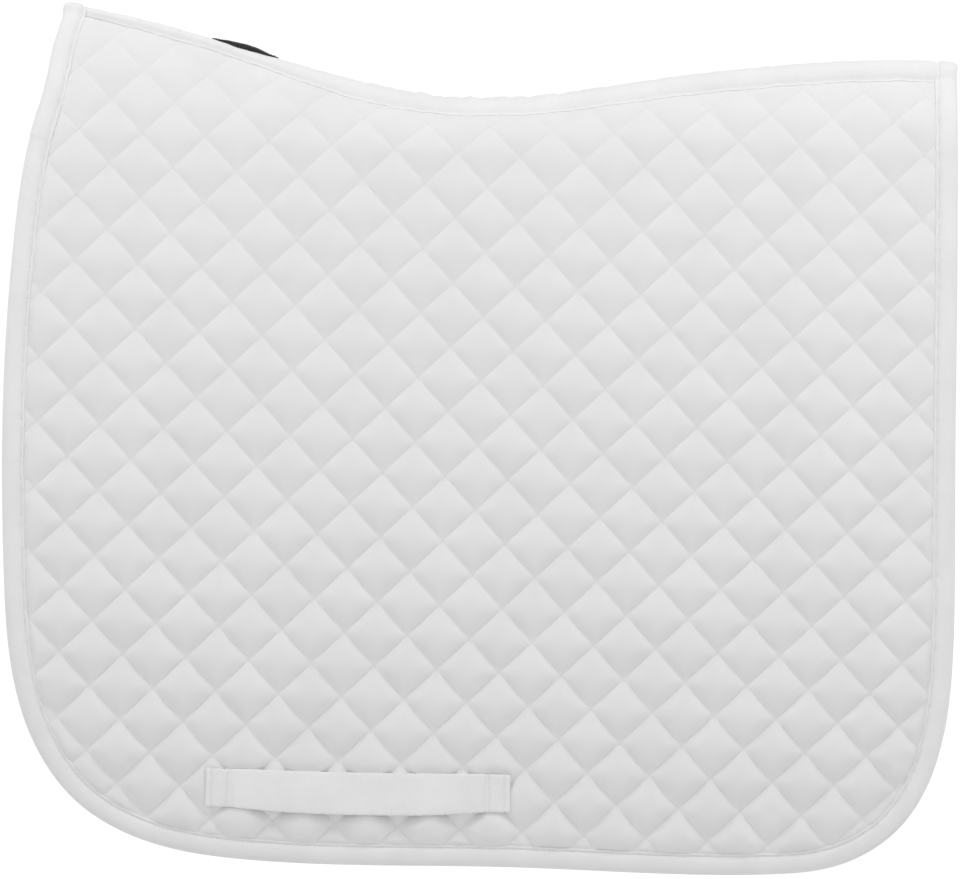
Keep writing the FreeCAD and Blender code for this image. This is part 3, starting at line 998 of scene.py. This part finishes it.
def label_place(along, across):
    """Place on the crest for shares along the label and across it, from its near edge."""
    near = -0.3 - 2.3 * np.sin(math.pi * along)
    u = LABEL_X[0] + (LABEL_X[1] - LABEL_X[0]) * along + 0 * across
    return u, near + (LABEL_REACH[1] - near) * across


def label_arch(along, across):
    """The stiff label doesn't follow the hollow of the spine: it stands off along its middle."""
    rise = 0.35 + 0.65 * ease(across / 0.16)
    fall = 1 - ease((across - 0.35) / 0.6)
    return 2.9 * np.sin(math.pi * along)**0.9 * rise * fall


def label_underside(along, across):
    """The label's place on the crest, and the depth at which it lies there."""
    u, run = label_place(along, across)
    return u, run, tape_top(u, run - tape_drift(u)) - label_arch(along, across)


def plain_label():
    """Blank woven label over the spine tape."""
    along = np.linspace(0, 1, 60)[:, None]
    across = np.linspace(0, 1, 34)[None]
    u, run, depth = label_underside(along, across)
    from_end = np.minimum(along, 1 - along) * LABEL_SHAPE
    edge = LABEL_SIZE[1] * np.minimum(from_end, np.minimum(across, 1 - across))
    label = closed_strip("spine_label_patch", u, run, depth - 0.25 - 0.45 * ease(edge / 1.5 + 0.35),
                         depth + 0.15, LABEL_BLACK)
    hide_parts("spine_label")


def label_stitches():
    """Stitches round the label, just inside its edge."""
    corners = [(0.035, 0.05), (0.965, 0.05), (0.965, 0.95), (0.035, 0.95), (0.035, 0.05)]
    border = even(np.array(corners) * LABEL_SIZE, 2.0)
    middle, ahead = (border[:-1] + border[1:]) / 2, border[1:] - border[:-1]
    rows = []
    for share, deeper in ((-0.3, 0), (0.0, 0), (0.3, 0), (0.0, 2)):
        u, run, depth = label_underside(*((middle + ahead * share) / LABEL_SIZE).T)
        rows.append(place_across(u, run, depth - 0.72 + deeper))
    before, at, after, under = rows
    sewn = stitches("spine_label_edge_stitches", [(at, after - before, at - under)], 1.5, 0.22, 5,
                    LABEL_THREAD)
    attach(sewn, "ridge")


def tape_stitches():
    """Two rows of stitches along the spine tape."""
    u = np.arange(*crest_ends(TAPE_SEWN_INSET), 3.0)
    runs = []
    for spot in (1.6 - TAPE_HALF, TAPE_HALF - 1.6):
        rows = []
        for step in (-1, 0, 1):
            depth = tape_top(u + step, np.full(len(u), spot)) - 0.03
            across = spot + tape_drift(u + step) + tape_wander(u + step)
            rows.append(place_across(u + step, across, depth))
        under = place_across(u, spot + tape_drift(u) + tape_wander(u), depth + 1.5)
        runs.append((rows[1], rows[2] - rows[0], rows[1] - under))
    sewn = stitches("spine_tape_stitches", runs, 2.3, 0.27, 4, THREADS)
    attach(sewn, "ridge")


# ---- girth straps ----
STRAP_STITCHES = 8       # in each row across the webbing


def strap(side):
    """The webbing of the girth loop: sewn down at its ends, and free between them."""
    wide = STRAP_WIDTH / 2
    x = np.arange(-STRAP_HALF, STRAP_HALF + 0.01, RIB_PITCH / 6)[:, None]
    across = np.concatenate([[-1, -0.985], np.linspace(-0.95, 0.95, 15), [0.985, 1]])[None] * wide
    level, thick, share = strap_level(x, across)
    rib = 0.09 * np.abs(np.sin(math.pi * x / RIB_PITCH))**0.7
    selvedge = 0.35 * np.clip((np.abs(across) / wide - 0.96) / 0.04, 0, 1)
    cup = 0.5 * share * (np.abs(across) / wide)**2
    across = across * (STRAP_FULL[0] + STRAP_FULL[1] * share)
    by_edge = np.sign(across) * (np.abs(across) > STRAP_WIDTH * 0.47)
    edge_wave = 0.18 * by_edge * ripple(x, [(7.0, 0.6, 0.3), (3.1, 0.4, 1.0)])
    u, v = strap_flat(x + 0 * across, across + edge_wave - STRAP_SAG * share**1.5)
    front = place(u, v, -(level + thick + rib - selvedge - cup))
    back = place(u, v, -(level - rib * 0.6 + selvedge - cup))
    rows, cols = front.shape[:2]
    faces = closed(grid_faces(rows, cols)[:, ::-1], rows * cols)
    uv = np.stack([x + 0 * across, across + 0 * x], -1).reshape(-1, 2)
    points = on_side(np.concatenate([front.reshape(-1, 3), back.reshape(-1, 3)]), side)
    obj = add_mesh(f"{SIDES[side]}_girth_strap_webbing", points, quads_for(faces, side), WEBBING,
                   np.concatenate([uv, uv]), crisp=50)
    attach(obj, f"{SIDES[side]}_flap")
    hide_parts(*nodes_of(side, "girth_strap"))


def strap_stitches(side):
    """Rows of stitches across the webbing's sewn ends."""
    width = STRAP_WIDTH - 1.5
    spots = (np.arange(STRAP_STITCHES) + 0.5) * width / STRAP_STITCHES - width / 2
    runs = []
    for end in (-1, 1):
        for row in STITCH_ROWS:
            at = np.full(STRAP_STITCHES, end * (STRAP_HALF - row))
            level, thick, _ = strap_level(at, spots)
            rows = []
            for step in (-1.0, 0.0, 1.0):
                u, v = strap_flat(at + 0.25 * np.sin(spots), spots + step)
                rows.append(on_side(place(u, v, -(level + thick + 0.2)), side))
            runs.append((rows[1], rows[2] - rows[0], on_side(normals(u, v), side)))
    sewn = stitches(f"{SIDES[side]}_strap_stitches", runs, 2.4, 0.36, 6, THREADS)
    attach(sewn, f"{SIDES[side]}_flap")
    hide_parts(*nodes_of(side, "girth_strap_stitches"))


outer_tape()
inner_tape()
plain_label()
label_stitches()
tape_stitches()
for each_side in SIDES:
    quilting_threads(each_side)
    binding(each_side)
    binding_stitches(each_side)
    strap(each_side)
    strap_stitches(each_side)


# ---- stage, light and camera, in metres ----
FLOOR_Z = -0.78
FLOOR_HALF = 5
SKY_BELOW = 0.2          # brightness of the world straight down, and straight up
SKY_ABOVE = 0.35
SKY_BETWEEN = ((0.4, 0.34), (0.47, 1.06), (0.53, 1.06))      # and at heights from 0, down, to 1, up
LIGHTS = (("front_key", (-0.9, -0.7, 0.9), 6.0),
          ("rear_key", (0.9, -0.7, 0.9), 6.8),
          ("far_side_key", (0.5, 1.1, 0.45), 5.0))
LIGHT_SIZE = 0.5
LIGHTS_AIM = (0, 0, -0.25)
CAMERA_AT = (0.0007, -7.0, -0.2245)
CAMERA_LENS = 378.3
CAMERA_SENSOR = 36


def stage_floor():
    """Plain pale floor, clear of the pad, which hangs."""
    corners = [(x * FLOOR_HALF, y * FLOOR_HALF, 0) for x, y in ((-1, -1), (1, -1), (1, 1), (-1, 1))]
    mesh = bpy.data.meshes.new("floor")
    mesh.from_pydata(corners, [], [(0, 1, 2, 3)])
    floor = new_object("floor", mesh)
    floor.location = (0, 0, FLOOR_Z)
    node, _, complete = new_material("floor_paint", 0.8)
    grain = node("ShaderNodeTexNoise", "Fac", {}, Scale=8.0, Detail=4.0)
    mesh.materials.append(complete(grey(0.84), grey(0.86), grain, grain, 0.05, 0.001))
    floor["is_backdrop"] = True


def studio_world():
    """White all round at eye level, dimmer above and darkest below."""
    world = bpy.data.worlds.new("studio")
    world.use_nodes = True
    nodes, links = world.node_tree.nodes, world.node_tree.links
    where = nodes.new("ShaderNodeTexCoord")
    split = nodes.new("ShaderNodeSeparateXYZ")
    ramp = nodes.new("ShaderNodeValToRGB")
    half = nodes.new("ShaderNodeMapRange")
    half.inputs["From Min"].default_value = -1
    half.inputs["From Max"].default_value = 1
    stops = ramp.color_ramp.elements
    stops[0].color = (*grey(SKY_BELOW), 1)
    stops[1].color = (*grey(SKY_ABOVE), 1)
    for at, level in SKY_BETWEEN:
        stops.new(at).color = (*grey(level), 1)
    links.new(where.outputs["Generated"], split.inputs[0])
    links.new(split.outputs["Z"], half.inputs["Value"])
    links.new(half.outputs["Result"], ramp.inputs["Fac"])
    links.new(ramp.outputs["Color"], nodes["Background"].inputs["Color"])
    bpy.context.scene.world = world


def area_light(name, place_at, power):
    """Round soft light, turned towards the pad."""
    light = bpy.data.lights.new(name, "AREA")
    light.shape = "DISK"
    light.size = LIGHT_SIZE
    light.energy = power
    obj = new_object(name, light)
    obj.location = place_at
    obj.rotation_mode = "QUATERNION"
    direction = Vector(LIGHTS_AIM) - Vector(place_at)
    obj.rotation_quaternion = direction.to_track_quat("-Z", "Y")


def camera():
    """Camera square on to the left flap, as in the photograph."""
    data = bpy.data.cameras.new("camera")
    data.lens = CAMERA_LENS
    data.sensor_width = CAMERA_SENSOR
    cam = new_object("camera", data)
    cam.location = CAMERA_AT
    cam.rotation_euler = (math.pi / 2, 0, 0)
    bpy.context.scene.camera = cam


stage_floor()
studio_world()
for each_light in LIGHTS:
    area_light(*each_light)
camera()
bpy.context.scene.view_settings.view_transform = "Standard"

[[list(corner) for corner in box] for box in (CAD_BOX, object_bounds())]
